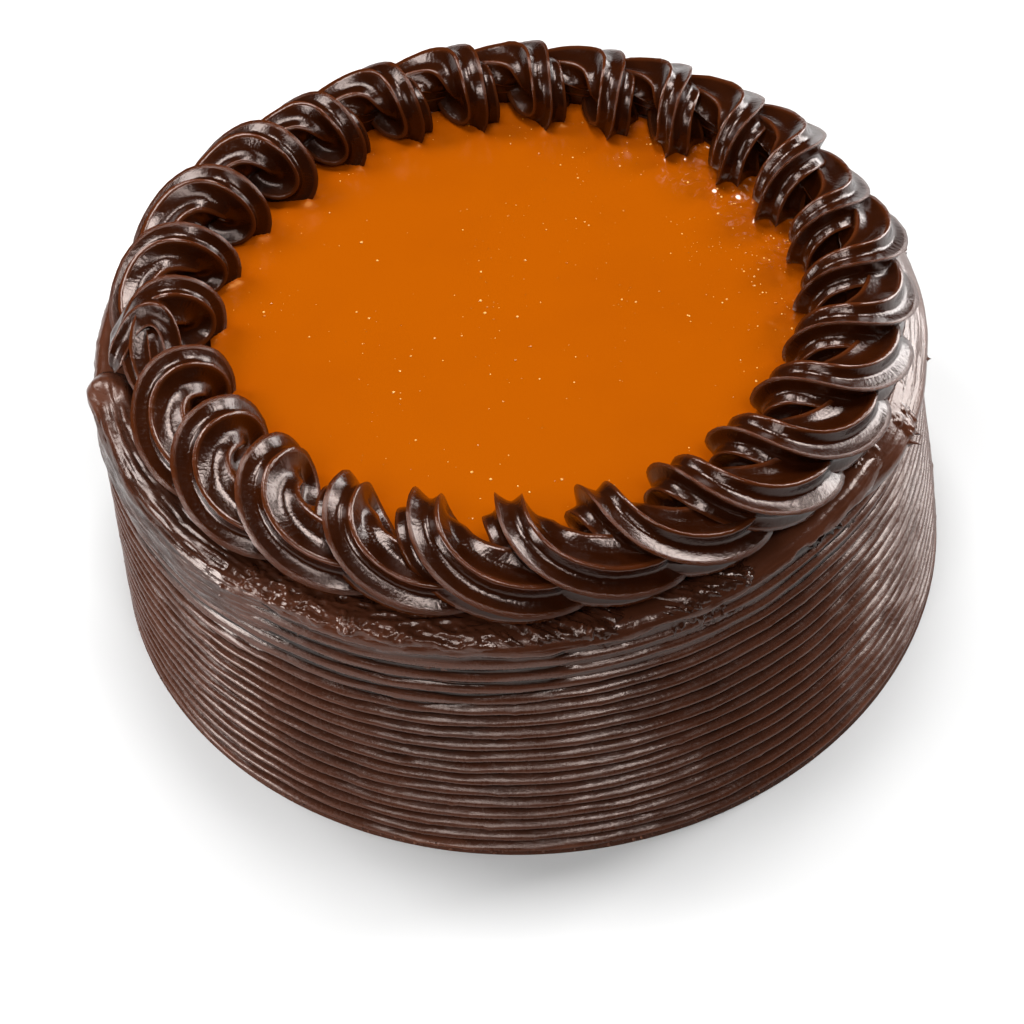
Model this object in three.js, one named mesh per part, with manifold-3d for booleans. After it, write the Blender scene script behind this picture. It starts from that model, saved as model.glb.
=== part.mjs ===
// A round chocolate cake with combed sides, a piped rope border and a pool of caramel on top.
// Millimetres, +Z up. The origin is the middle of the flat underside.
import * as THREE from 'three';
import { mergeVertices } from 'three/addons/utils/BufferGeometryUtils.js';
import Module from 'manifold-3d';

const wasm = await Module();
wasm.setup();

// Driving dimensions of the iced cake
const BASE_RADIUS = 103;
const TOP_RADIUS = 97;
const CAKE_HEIGHT = 69;
const RIM_ROUND = 4;
const LEAN = new THREE.Vector2(-3, 1); // how far the top's middle lies from the base's
const BODY_SIDES = 48;

// Combed side
const RIDGES = 17;
const RIDGE_DEPTH = 1.5;
const COMB_BOTTOM = 0.8;
const COMB_TOP = CAKE_HEIGHT - RIM_ROUND;
const RIDGE_UNEVENNESS = 0.28; // share of the pitch and of the depth
const COMB_SEED = 11;

// Piped rope border: a star-nozzled rope laid in small loops as it goes round the rim
const ROPE_TURNS = 25;
const ROPE_START_DEG = -172;
const TURN_SPACING_DEG = 14.7; // counterclockwise seen from above
const CROWDED_FROM_TURN = 19; // from here to the end the turns come closer together
const CROWDING = 0.55; // share of the spacing lost by the last turn
const ROPE_MID_RADIUS = 80;
const ROPE_AXIS_HEIGHT = 8.2; // above the cake's top
const LOOP_RADIUS = 3.8;
const LOOP_TILT_DEG = 48; // each turn leans back over the one before
const CREST_RADIUS = 7.5;
const FLUTES = 8;
const FLUTE_DEPTH = 2;
const INNER_LIMIT = 3.6; // the side next to the loop's axis is flattened to this
const TURN_FROM_DEG = -60; // 0 is the side next to the caramel, 90 the top, 180 the outer side
const TURN_TO_DEG = 226;
const TURN_STEPS = 7;

// Bed of chocolate that the rope sinks into
const BED_HALF_WIDTH = 8;
const BED_HEIGHT = 9;
const BED_SIDES = 50;

// Tail where the nozzle was pulled away
const TAIL_RADIUS = 7.5;
const TAIL_HEIGHT = 15;
const TAIL_SIDES = 8;
const TAIL_TURN_DEG = 180;
const TAIL_OUTWARD = 3; // from the rope's middle radius
const TAIL_RISE = 11;
const TAIL_TILT_DEG = 52;

// Caramel pool
const CARAMEL_DEPTH = 3;
const CARAMEL_SIDES = 75;

const GAP = 0.3; // clearance between neighbouring pieces
const TAU = 2 * Math.PI;

const finishes = {
  ganache: new THREE.MeshStandardMaterial({ color: 0x3a2118, roughness: 0.45, metalness: 0 }),
  piping: new THREE.MeshStandardMaterial({ color: 0x2e1710, roughness: 0.3, metalness: 0 }),
  caramel: new THREE.MeshStandardMaterial({ color: 0xcc6000, roughness: 0.2, metalness: 0 }),
};

// Numbers from 0 to 1 that are the same on every run.
function seededRandom(seed) {
  let state = seed;
  return () => {
    state = (state * 1664525 + 1013904223) % 4294967296;
    return state / 4294967296;
  };
}

// A closed geometry as a solid that can be joined and cut.
function solidOf(geometry) {
  const bare = geometry.index ? geometry.toNonIndexed() : geometry.clone();
  bare.deleteAttribute('normal');
  bare.deleteAttribute('uv');
  const merged = mergeVertices(bare, 1e-4);
  return new wasm.Manifold(new wasm.Mesh({
    numProp: 3,
    vertProperties: merged.attributes.position.array,
    triVerts: new Uint32Array(merged.index.array),
  }));
}

// The triangles of a joined or cut solid.
function geometryOf(solid) {
  const { vertProperties, triVerts } = solid.getMesh();
  const geometry = new THREE.BufferGeometry();
  geometry.setAttribute('position', new THREE.BufferAttribute(vertProperties, 3));
  geometry.setIndex(new THREE.BufferAttribute(triVerts, 1));
  return geometry;
}

// A ring or disc turned about Z from a profile of [radius, height] pairs.
function turned(profile, sides) {
  const points = profile.map(([radius, height]) => new THREE.Vector2(radius, height));
  return new THREE.LatheGeometry(points, sides).rotateX(Math.PI / 2);
}

// Leans a piece sideways in step with its height, so that the underside stays where it is.
function leaned(geometry) {
  const shear = new THREE.Matrix4().set(
    1, 0, LEAN.x / CAKE_HEIGHT, 0,
    0, 1, LEAN.y / CAKE_HEIGHT, 0,
    0, 0, 1, 0,
    0, 0, 0, 1,
  );
  return geometry.applyMatrix4(shear);
}

// Iced cake: one solid with a comb's ridges round its side and a rounded rim.
function iceCake() {
  const random = seededRandom(COMB_SEED);
  const uneven = () => 1 + RIDGE_UNEVENNESS * (random() - 0.5);
  const sideRadius = (height) => BASE_RADIUS + (TOP_RADIUS - BASE_RADIUS) * (height / CAKE_HEIGHT);
  const pitch = (COMB_TOP - COMB_BOTTOM) / RIDGES;
  const profile = [[0, 0], [BASE_RADIUS - RIDGE_DEPTH, 0]];
  for (let ridge = 0; ridge < RIDGES; ridge++) {
    const valley = COMB_BOTTOM + ridge * pitch;
    const crest = valley + (pitch / 2) * uneven();
    profile.push([sideRadius(valley) - RIDGE_DEPTH * uneven(), valley]);
    profile.push([sideRadius(crest), crest]);
  }
  for (const turn of [0, 1 / 3, 2 / 3, 1]) {
    const angle = turn * Math.PI / 2;
    const radius = sideRadius(COMB_TOP) - RIDGE_DEPTH - RIM_ROUND * (1 - Math.cos(angle));
    profile.push([radius, COMB_TOP + RIM_ROUND * Math.sin(angle)]);
  }
  profile.push([0, CAKE_HEIGHT]);
  return leaned(turned(profile, BODY_SIDES));
}

// The nozzle's star: sharp crests, hollow flutes and a flattened inner side.
function nozzleStar(grow) {
  const star = new THREE.Shape();
  const corners = 2 * FLUTES;
  for (let corner = 0; corner < corners; corner++) {
    const angle = (corner / corners) * TAU;
    const radius = CREST_RADIUS - (corner % 2) * FLUTE_DEPTH + grow;
    const outward = Math.max(radius * Math.cos(angle), -INNER_LIMIT);
    const point = [outward, radius * Math.sin(angle)];
    if (corner === 0) star.moveTo(...point);
    else star.lineTo(...point);
  }
  star.closePath();
  return star;
}

// Angle round the cake that the rope has reached after a number of turns.
function ropeAngle(turns) {
  const late = Math.max(turns - CROWDED_FROM_TURN, 0);
  const lost = CROWDING * late ** 2 / (2 * (ROPE_TURNS - CROWDED_FROM_TURN));
  return THREE.MathUtils.degToRad(ROPE_START_DEG + TURN_SPACING_DEG * (turns - lost));
}

// The middle line of one turn of the rope. The star lies in the plane through the loop's own axis.
class RopeTurn extends THREE.Curve {
  constructor(turn) {
    super();
    this.turn = turn;
  }

  // Directions at a point of the turn: out from the cake's middle, away from the loop's axis, and along that axis.
  at(t) {
    const wind = THREE.MathUtils.degToRad(THREE.MathUtils.lerp(TURN_FROM_DEG, TURN_TO_DEG, t));
    const round = ropeAngle(this.turn + wind / TAU);
    const tilt = THREE.MathUtils.degToRad(LOOP_TILT_DEG);
    const up = new THREE.Vector3(0, 0, 1);
    const outward = new THREE.Vector3(Math.cos(round), Math.sin(round), 0);
    const forward = new THREE.Vector3().crossVectors(up, outward);
    const rise = up.clone().multiplyScalar(Math.cos(tilt)).addScaledVector(forward, -Math.sin(tilt));
    const axis = forward.clone().multiplyScalar(Math.cos(tilt)).addScaledVector(up, Math.sin(tilt));
    const away = rise.multiplyScalar(Math.sin(wind)).addScaledVector(outward, -Math.cos(wind));
    return { outward, away, axis };
  }

  getPoint(t, target = new THREE.Vector3()) {
    const { outward, away } = this.at(t);
    return target.copy(outward).multiplyScalar(ROPE_MID_RADIUS)
      .addScaledVector(away, LOOP_RADIUS)
      .add(new THREE.Vector3(0, 0, CAKE_HEIGHT + ROPE_AXIS_HEIGHT));
  }

  computeFrenetFrames(segments) {
    const frames = { tangents: [], normals: [], binormals: [] };
    for (let i = 0; i <= segments; i++) {
      const { away, axis } = this.at(this.getUtoTmapping(i / segments));
      frames.normals.push(away);
      frames.binormals.push(axis.negate());
      frames.tangents.push(new THREE.Vector3().crossVectors(away, axis));
    }
    return frames;
  }
}

// One turn of the rope, as far round as it shows.
function ropeTurn(turn, star) {
  const options = { steps: TURN_STEPS, extrudePath: new RopeTurn(turn), curveSegments: 1 };
  return new THREE.ExtrudeGeometry(star, options);
}

// The low ring under the rope, which joins its turns.
function ropeBed(grow) {
  const low = CAKE_HEIGHT - GAP;
  const high = CAKE_HEIGHT + BED_HEIGHT + grow;
  const inner = ROPE_MID_RADIUS - BED_HALF_WIDTH - grow;
  const outer = ROPE_MID_RADIUS + BED_HALF_WIDTH + grow;
  const profile = [[inner, low], [outer, low], [ROPE_MID_RADIUS, high], [inner, low]];
  return turned(profile, BED_SIDES);
}

// The peak left where the nozzle was pulled away, lying outwards over the first turn.
function ropeTail(grow) {
  const round = THREE.MathUtils.degToRad(TAIL_TURN_DEG);
  const radius = ROPE_MID_RADIUS + TAIL_OUTWARD;
  return new THREE.ConeGeometry(TAIL_RADIUS + grow, TAIL_HEIGHT + grow, TAIL_SIDES)
    .rotateX(Math.PI / 2)
    .rotateY(THREE.MathUtils.degToRad(TAIL_TILT_DEG))
    .translate(radius, 0, CAKE_HEIGHT + TAIL_RISE)
    .rotateZ(round);
}

// The whole border, grown all round by the clearance when it is used as a cutter.
function pipeBorder(grow = 0) {
  const star = nozzleStar(grow);
  const pieces = [ropeBed(grow), ropeTail(grow)];
  for (let turn = 0; turn < ROPE_TURNS; turn++) pieces.push(ropeTurn(turn, star));
  const joined = pieces.map(solidOf).reduce((whole, piece) => whole.add(piece));
  const floor = turned([[0, 0], [BASE_RADIUS, 0], [BASE_RADIUS, CAKE_HEIGHT + GAP - grow],
    [0, CAKE_HEIGHT + GAP - grow]], BODY_SIDES);
  return joined.subtract(solidOf(floor));
}

// Caramel: a shallow pool that fills the ring and takes the border's scalloped outline.
function pourCaramel(border) {
  const low = CAKE_HEIGHT + GAP;
  const high = CAKE_HEIGHT + CARAMEL_DEPTH;
  const disc = turned([[0, low], [ROPE_MID_RADIUS, low], [ROPE_MID_RADIUS, high], [0, high]], CARAMEL_SIDES);
  const bodies = solidOf(disc).subtract(border).decompose();
  return bodies.reduce((largest, body) => (body.volume() > largest.volume() ? body : largest));
}

function named(name, geometry, finish) {
  const mesh = new THREE.Mesh(geometry, finish);
  mesh.name = name;
  return mesh;
}

const cake = new THREE.Group();
cake.add(
  named('cake_body', iceCake(), finishes.ganache),
  named('piped_border', leaned(geometryOf(pipeBorder())), finishes.piping),
  named('caramel_top', leaned(geometryOf(pourCaramel(pipeBorder(GAP)))), finishes.caramel),
);

export default cake;
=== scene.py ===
"""A chocolate cake with combed icing, a piped rope border and a pool of caramel, in a plain studio.

Sizes are in millimetres and angles in degrees unless a name says otherwise; meshes are in metres.
"""

import dataclasses
import itertools
import logging
import math
from dataclasses import dataclass
from enum import Enum
from types import SimpleNamespace
from typing import Any, Mapping, Optional, Union

import bpy
from mathutils import Matrix, Vector


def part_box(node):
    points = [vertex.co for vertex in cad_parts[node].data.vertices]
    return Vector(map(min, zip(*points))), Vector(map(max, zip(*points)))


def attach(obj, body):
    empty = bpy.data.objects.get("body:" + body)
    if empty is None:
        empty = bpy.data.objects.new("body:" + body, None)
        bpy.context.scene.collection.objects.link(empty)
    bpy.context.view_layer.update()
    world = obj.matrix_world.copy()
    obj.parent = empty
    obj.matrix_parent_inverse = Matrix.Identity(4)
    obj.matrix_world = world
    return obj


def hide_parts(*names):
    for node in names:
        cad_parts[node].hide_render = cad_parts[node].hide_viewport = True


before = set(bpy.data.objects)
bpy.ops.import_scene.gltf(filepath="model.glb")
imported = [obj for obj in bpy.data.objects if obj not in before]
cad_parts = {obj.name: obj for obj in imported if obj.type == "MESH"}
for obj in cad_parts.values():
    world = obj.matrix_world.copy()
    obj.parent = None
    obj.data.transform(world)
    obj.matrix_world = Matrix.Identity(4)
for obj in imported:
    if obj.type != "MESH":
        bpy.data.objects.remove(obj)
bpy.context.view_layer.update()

LOG = logging.getLogger("cake")
MM = 0.001
TAU = 2 * math.pi
DEGREE = TAU / 360
SEAM = 0.01 * MM  # points nearer to each other than this become one
BODY = "root"

Number = Union[int, float]
Operand = Union["Field", Number, tuple]
Triple = tuple[float, float, float]
Colour = Triple
Knots = tuple[float, float, float, float]


class Node(Enum):
    """Solids of the frame that the dressed pieces stand for."""

    CAKE = "cake_body"
    BORDER = "piped_border"
    CARAMEL = "caramel_top"


class Slot(Enum):
    """Finish slots of the record."""

    ICING = "icing"
    PIPING = "piping"
    CARAMEL = "caramel"


class Mark(Enum):
    """Values that a shape leaves on its points for its finish to read."""

    CREST = "crest"
    STRAND = "strand"
    RIDGE = "ridge"
    TORN = "torn"
    SHORE = "shore"
    WET = "wet"
# Painted shade on the caramel near the border.


class Slope(Enum):
    """Ways to get from one value to another."""

    STRAIGHT = "LINEAR"
    SMOOTH = "SMOOTHSTEP"


class Field:
    """A node's output that takes part in Python arithmetic by adding nodes to its tree."""

    def __init__(self, bench: "Bench", socket: bpy.types.NodeSocket) -> None:
        """Keeps the socket and the bench that its tree is built on."""
        self.bench = bench
        self.socket = socket

    @property
    def is_vector(self) -> bool:
        """Whether the socket carries a vector."""
        return self.socket.type == "VECTOR"

    def __add__(self, other: Operand) -> "Field":
        """Sum."""
        return self.bench.math("ADD", self, other)

    def __radd__(self, other: Operand) -> "Field":
        """Sum with a number first."""
        return self.bench.math("ADD", other, self)

    def __sub__(self, other: Operand) -> "Field":
        """Difference."""
        return self.bench.math("SUBTRACT", self, other)

    def __rsub__(self, other: Operand) -> "Field":
        """Difference with a number first."""
        return self.bench.math("SUBTRACT", other, self)

    def __mul__(self, other: Operand) -> "Field":
        """Product."""
        return self.bench.math("MULTIPLY", self, other)

    def __rmul__(self, other: Operand) -> "Field":
        """Product with a number first."""
        return self.bench.math("MULTIPLY", self, other)

    def __truediv__(self, other: Operand) -> "Field":
        """Quotient."""
        return self.bench.math("DIVIDE", self, other)

    def __rtruediv__(self, other: Operand) -> "Field":
        """Quotient with a number first."""
        return self.bench.math("DIVIDE", other, self)

    def __pow__(self, power: Operand) -> "Field":
        """Power."""
        return self.bench.math("POWER", self, power)

    def __neg__(self) -> "Field":
        """Negative."""
        return self.bench.math("MULTIPLY", self, -1.0)

    def __abs__(self) -> "Field":
        """Size without sign."""
        return self.bench.math("ABSOLUTE", self)


class Bench:
    """A node tree under construction: one method adds nodes, the others are short names for common ones."""

    def __init__(self, tree: bpy.types.NodeTree) -> None:
        """Keeps the tree that the nodes go into."""
        self.tree = tree

    def node(
        self,
        kind: str,
        settings: Optional[Mapping[str, Any]] = None,
        inputs: Optional[Mapping[Union[str, int], Any]] = None,
        output: Union[str, int] = 0,
    ) -> Field:
        """Adds a node.

        Args:
            kind: Blender's name of the node's type.
            settings: Properties of the node, set before its sockets.
            inputs: Values or links of its sockets, by name or number.
            output: Name or number of the output that is wanted.

        Returns:
            That output.
        """
        made = self.tree.nodes.new(kind)
        for name, value in (settings or {}).items():
            setattr(made, name, value)
        for key, value in (inputs or {}).items():
            self.feed(made.inputs[key], value)
        return Field(self, made.outputs[output])

    def feed(self, socket: bpy.types.NodeSocket, value: Any) -> None:
        """Links a field to a socket, or sets a plain value on it.

        Args:
            socket: The socket.
            value: The field or the plain value.
        """
        if isinstance(value, Field):
            self.tree.links.new(value.socket, socket)
        else:
            socket.default_value = value

    def math(self, operation: str, first: Operand, second: Operand = 0.0) -> Field:
        """Adds a sum on two values, or on vectors where either of them is one.

        Args:
            operation: Name of the operation.
            first: Its first value.
            second: Its second value.

        Returns:
            The result.
        """
        pair = (first, second)
        vectors = [isinstance(v, tuple) or isinstance(v, Field) and v.is_vector for v in pair]
        if not any(vectors):
            return self.node("ShaderNodeMath", {"operation": operation}, {0: first, 1: second})
        if operation == "MULTIPLY" and not all(vectors):
            vector, factor = (first, second) if vectors[0] else (second, first)
            return self.node("ShaderNodeVectorMath", {"operation": "SCALE"}, {0: vector, "Scale": factor})
        return self.node("ShaderNodeVectorMath", {"operation": operation}, {0: first, 1: second})

    def sine(self, angle: Operand) -> Field:
        """Sine of an angle in radians."""
        return self.math("SINE", angle)

    def cosine(self, angle: Operand) -> Field:
        """Cosine of an angle in radians."""
        return self.math("COSINE", angle)

    def least(self, first: Operand, second: Operand) -> Field:
        """The smaller of two values."""
        return self.math("MINIMUM", first, second)

    def most(self, first: Operand, second: Operand) -> Field:
        """The larger of two values."""
        return self.math("MAXIMUM", first, second)

    def soft_most(self, first: Operand, second: Operand, rounding: float) -> Field:
        """The larger of two values, with the change-over rounded off."""
        return self.node("ShaderNodeMath", {"operation": "SMOOTH_MAX"}, {0: first, 1: second, 2: rounding})

    def ramp(
        self,
        value: Operand,
        low: Operand,
        high: Operand,
        start: float = 0.0,
        end: float = 1.0,
        slope: Slope = Slope.STRAIGHT,
    ) -> Field:
        """Goes from start at low to end at high, and stays level beyond them."""
        limits = {"Value": value, "From Min": low, "From Max": high, "To Min": start, "To Max": end}
        return self.node("ShaderNodeMapRange", {"interpolation_type": slope.value}, limits)

    def step(self, value: Operand, low: Operand, high: Operand) -> Field:
        """Goes smoothly from 0 at low to 1 at high, and stays level beyond them."""
        return self.ramp(value, low, high, slope=Slope.SMOOTH)

    def vector(self, x: Operand, y: Operand, z: Operand) -> Field:
        """A vector from its three values."""
        return self.node("ShaderNodeCombineXYZ", inputs={0: x, 1: y, 2: z})

    def polar(self, angle: Field, radius: Operand, height: Operand) -> Field:
        """A place from its bearing in radians, its distance from the middle and its height."""
        return self.vector(self.cosine(angle) * radius, self.sine(angle) * radius, height)

    def parts(self, vector: Field) -> tuple[Field, Field, Field]:
        """The three values of a vector."""
        split = self.node("ShaderNodeSeparateXYZ", inputs={0: vector})
        return tuple(Field(self, socket) for socket in split.socket.node.outputs)

    def noise(self, place: Field, scale: float, detail: float = 2.0, roughness: float = 0.5) -> Field:
        """Cloudy noise from 0 to 1 at a place."""
        values = {"Vector": place, "Scale": scale, "Detail": detail, "Roughness": roughness}
        return self.node("ShaderNodeTexNoise", inputs=values)

    def uneven(
        self, place: Field, scale: float, height: Operand, detail: float = 2.0, roughness: float = 0.5
    ) -> Field:
        """Cloudy noise about zero, at most half a height up or down."""
        return (self.noise(place, scale, detail, roughness) - 0.5) * height

    def creases(self, place: Field, scale: float, detail: float) -> Field:
        """Wandering sharp crests, 1 along each and falling off to both sides."""
        return 1.0 - abs(self.noise(place, scale, detail) * 2.0 - 1.0)

    def noise_along(self, value: Field, scale: float) -> Field:
        """Noise from 0 to 1 along a line."""
        values = {"W": value, "Scale": scale, "Detail": 1.0}
        return self.node("ShaderNodeTexNoise", {"noise_dimensions": "1D"}, values)


class ShapeTree(Bench):
    """A geometry node tree with named sizes, and the plain mesh that it grows."""

    def __init__(self, name: str) -> None:
        """Starts an empty tree that gives out geometry.

        Args:
            name: Name of the tree and of the piece that it grows.
        """
        tree = bpy.data.node_groups.new(name, "GeometryNodeTree")
        tree.interface.new_socket("Geometry", in_out="OUTPUT", socket_type="NodeSocketGeometry")
        super().__init__(tree)
        self.name = name
        self.entry = tree.nodes.new("NodeGroupInput")
        self.values: dict[str, Number] = {}

    def sizes(self, *owners: Any, prefix: str = "") -> SimpleNamespace:
        """Adds a named input for each number that the owners hold.

        Args:
            owners: Dataclasses, such as a sub-assembly; a dataclass inside one is a group of sizes.
            prefix: Start of the inputs' names.

        Returns:
            The inputs, under the names of the owners' fields.
        """
        made = {}
        for owner in owners:
            for entry in dataclasses.fields(owner):
                value = getattr(owner, entry.name)
                label = prefix + entry.name
                if dataclasses.is_dataclass(value):
                    made[entry.name] = self.sizes(value, prefix=f"{label}_")
                elif isinstance(value, (int, float)):
                    kind = "NodeSocketInt" if isinstance(value, int) else "NodeSocketFloat"
                    socket = self.tree.interface.new_socket(label, in_out="INPUT", socket_type=kind)
                    self.values[socket.identifier] = value
                    made[entry.name] = Field(self, self.entry.outputs[label])
        return SimpleNamespace(**made)

    def sheet(self, across: Operand, along: Operand) -> tuple[Field, Field, Field]:
        """Adds a flat grid to be bent into shape.

        Args:
            across: Points along the first way.
            along: Points along the second way.

        Returns:
            The grid, and each point's two places on it from 0 to 1.
        """
        sides = {"Size X": 1.0, "Size Y": 1.0, "Vertices X": across, "Vertices Y": along}
        grid = self.node("GeometryNodeMeshGrid", inputs=sides)
        first, second, _ = self.parts(self.node("GeometryNodeInputPosition"))
        return grid, first + 0.5, second + 0.5

    def lathe(self, columns: Field, *rows: int) -> tuple[Field, Field, list[Field]]:
        """Adds a sheet to be bent round the cake's middle, in stages from its first row to its last.

        Args:
            columns: Faces round the cake.
            rows: Faces along each stage.

        Returns:
            The sheet, the angle round the cake in radians, and a point's way along each stage from 0 to 1.
        """
        sheet, first, second = self.sheet(columns + 1, sum(rows) + 1)
        row = second * float(sum(rows))
        ends = [float(end) for end in itertools.accumulate(rows, initial=0)]
        return sheet, first * TAU, [self.ramp(row, low, high) for low, high in zip(ends, ends[1:])]

    def ball(self) -> Field:
        """A ball of twenty faces, a millimetre in radius."""
        return self.node("GeometryNodeMeshIcoSphere", inputs={"Radius": MM, "Subdivisions": 1})

    def chance(self, seed: Union[Field, int]) -> Field:
        """A number from 0 to 1 for each point, the same on each run."""
        return self.node("FunctionNodeRandomValue", {"data_type": "FLOAT"}, {"Seed": seed}, 1)

    def mesh_of(self, piece: bpy.types.Object) -> Field:
        """The mesh of a finished piece."""
        return self.node("GeometryNodeObjectInfo", inputs={"Object": piece}, output="Geometry")

    def mark(self, geometry: Field, marks: Mapping[Mark, Field]) -> Field:
        """Leaves values on the points for the finish to read.

        Args:
            geometry: The shape.
            marks: Each mark's value.

        Returns:
            The marked shape.
        """
        for mark, value in marks.items():
            settings = {"data_type": "FLOAT_VECTOR" if value.is_vector else "FLOAT", "domain": "POINT"}
            inputs = {"Geometry": geometry, "Name": mark.value, "Value": value}
            geometry = self.node("GeometryNodeStoreNamedAttribute", settings, inputs)
        return geometry

    def bend(self, geometry: Field, place: Field) -> Field:
        """Moves the points to places given in millimetres."""
        return self.node("GeometryNodeSetPosition", inputs={"Geometry": geometry, "Position": place * MM})

    def swell(self, geometry: Field, height: Field) -> Field:
        """Moves the points out along their normals by a height in millimetres."""
        offset = self.node("GeometryNodeInputNormal") * (height * MM)
        return self.node("GeometryNodeSetPosition", inputs={"Geometry": geometry, "Offset": offset})

    def place(self) -> Field:
        """Where the points are, in millimetres."""
        return self.node("GeometryNodeInputPosition") * (1 / MM)

    def close(self, geometry: Field) -> Field:
        """Closes seams and poles and smooths the shading."""
        merged = self.node("GeometryNodeMergeByDistance", inputs={"Geometry": geometry, "Distance": SEAM})
        return self.node("GeometryNodeSetShadeSmooth", inputs={"Geometry": merged})

    def grow(self, geometry: Field, material: bpy.types.Material) -> bpy.types.Object:
        """Ends the tree and turns what it makes into an object with a plain mesh.

        Args:
            geometry: What the tree makes.
            material: Its finish.

        Returns:
            The object, at the origin and with no modifier.
        """
        whole = self.node("GeometryNodeRealizeInstances", inputs={"Geometry": geometry})
        dressed = self.node("GeometryNodeSetMaterial", inputs={"Geometry": whole, "Material": material})
        leave = self.tree.nodes.new("NodeGroupOutput")
        self.tree.links.new(dressed.socket, leave.inputs["Geometry"])
        piece = bpy.data.objects.new(self.name, bpy.data.meshes.new(self.name))
        bpy.context.scene.collection.objects.link(piece)
        modifier = piece.modifiers.new(self.name, "NODES")
        modifier.node_group = self.tree
        for identifier, value in self.values.items():
            modifier[identifier] = value
        graph = bpy.context.evaluated_depsgraph_get()
        mesh = bpy.data.meshes.new_from_object(
            piece.evaluated_get(graph), preserve_all_data_layers=True, depsgraph=graph)
        piece.modifiers.remove(modifier)
        piece.data = mesh
        return piece


class Paint(Bench):
    """A material under construction round one Principled shader."""

    def __init__(self, name: str, **constants: Any) -> None:
        """Starts a material.

        Args:
            name: The material's name.
            constants: Numbers and colours that are the same all over, by socket name with _ for spaces.
        """
        self.material = bpy.data.materials.new(name)
        self.material.use_nodes = True
        super().__init__(self.material.node_tree)
        self.tree.nodes.clear()
        self.shader = self.tree.nodes.new("ShaderNodeBsdfPrincipled")
        leave = self.tree.nodes.new("ShaderNodeOutputMaterial")
        self.tree.links.new(self.shader.outputs[0], leave.inputs["Surface"])
        for label, value in constants.items():
            whole = (*value, 1.0) if isinstance(value, tuple) else value
            self.shader.inputs[label.replace("_", " ")].default_value = whole

    def place(self) -> Field:
        """Where the surface is, in millimetres of the object's own frame."""
        return self.node("ShaderNodeTexCoord", output="Object") * (1 / MM)

    def mark(self, mark: Mark) -> Field:
        """A value that the shape left on its points."""
        return self.node("ShaderNodeAttribute", {"attribute_name": mark.value}, output="Fac")

    def mark_vector(self, mark: Mark) -> Field:
        """A vector that the shape left on its points."""
        return self.node("ShaderNodeAttribute", {"attribute_name": mark.value}, output="Vector")

    def mix(self, share: Operand, first: Any, second: Any) -> Field:
        """Mixes two colours.

        Args:
            share: Share of the second from 0 to 1.
            first: The first colour.
            second: The second colour.

        Returns:
            The mixed colour.
        """
        colours = [(*c, 1.0) if isinstance(c, tuple) else c for c in (first, second)]
        settings = {"data_type": "RGBA", "clamp_factor": True}
        return self.node("ShaderNodeMix", settings, {0: share, 6: colours[0], 7: colours[1]}, 2)

    def bump(self, height: Field, depth: float) -> Field:
        """A surface normal from a height from 0 to 1 that stands for a depth in millimetres."""
        values = {"Strength": 1.0, "Distance": depth * MM, "Height": height}
        return self.node("ShaderNodeBump", inputs=values)

    def finish(self, **surfaces: Field) -> bpy.types.Material:
        """Links what varies over the surface.

        Args:
            surfaces: Fields by socket name, with _ for spaces.

        Returns:
            The finished material.
        """
        for name, value in surfaces.items():
            self.feed(self.shader.inputs[name.replace("_", " ")], value)
        return self.material


@dataclass(frozen=True)
class IcingFinish:
    """Satin chocolate icing: painted shade darkens the comb's grooves and sunken icing, glossy where it is
    torn, crumbly at its foot.
    """

    # The groove colour is painted shade, nearly black, laid in the comb's grooves and on sunken icing; the
    # ridge colour is the chocolate on the crests.
    groove: Colour = (0.002, 0.0005, 0.0002)
    ridge: Colour = (0.074, 0.022, 0.0100)
    crumb: Colour = (0.110, 0.036, 0.018)
    tint: Colour = (1.0, 0.84, 0.77)
    index: float = 1.48
    satin: float = 0.3
    torn_gloss: float = 0.2
    groove_gloss: float = 0.15
    sheen: float = 0.44
    cloud_scale: float = 0.06
    grain_scale: float = 1.1
    drag_scale: Triple = (0.12, 0.12, 2.6)
    foot_low: float = 0.6
    foot_high: float = 2.2
    relief: float = 0.12

    def material(self) -> bpy.types.Material:
        """Makes the icing's material.

        Returns:
            The material.
        """
        paint = Paint("icing", IOR=self.index, Specular_IOR_Level=self.sheen, Specular_Tint=self.tint)
        place = paint.place()
        _, _, height = paint.parts(place)
        ridge, torn = paint.mark(Mark.RIDGE), paint.mark(Mark.TORN)
        clouds = paint.noise(place, self.cloud_scale, 3.0)
        grain = paint.noise(place, self.grain_scale, 3.0, 0.6)
        drag = paint.noise(place * self.drag_scale, 1.0)
        # Painted shade: icing away from the crests takes the groove colour, torn icing is kept out of it,
        # and random mottling and drag streaks are mixed in.
        unshaded = paint.most(ridge, torn * 0.9)
        shade_and_mottle = unshaded * 0.75 + (clouds - 0.5) * 0.5 + (drag - 0.5) * 0.4
        roughness = self.satin + (grain - 0.5) * 0.22 + (drag - 0.5) * 0.16
        roughness = roughness - torn * (self.satin - self.torn_gloss)
        foot = paint.step(height + (clouds - 0.5) * 5.0, self.foot_high, self.foot_low)
        chocolate = paint.mix(shade_and_mottle, self.groove, self.ridge)
        return paint.finish(
            Base_Color=paint.mix(foot * 0.7, chocolate, self.crumb),
            Roughness=roughness - (1.0 - unshaded) * self.groove_gloss,
            Normal=paint.bump(grain * 0.5 + drag * 0.5, self.relief),
        )


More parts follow.
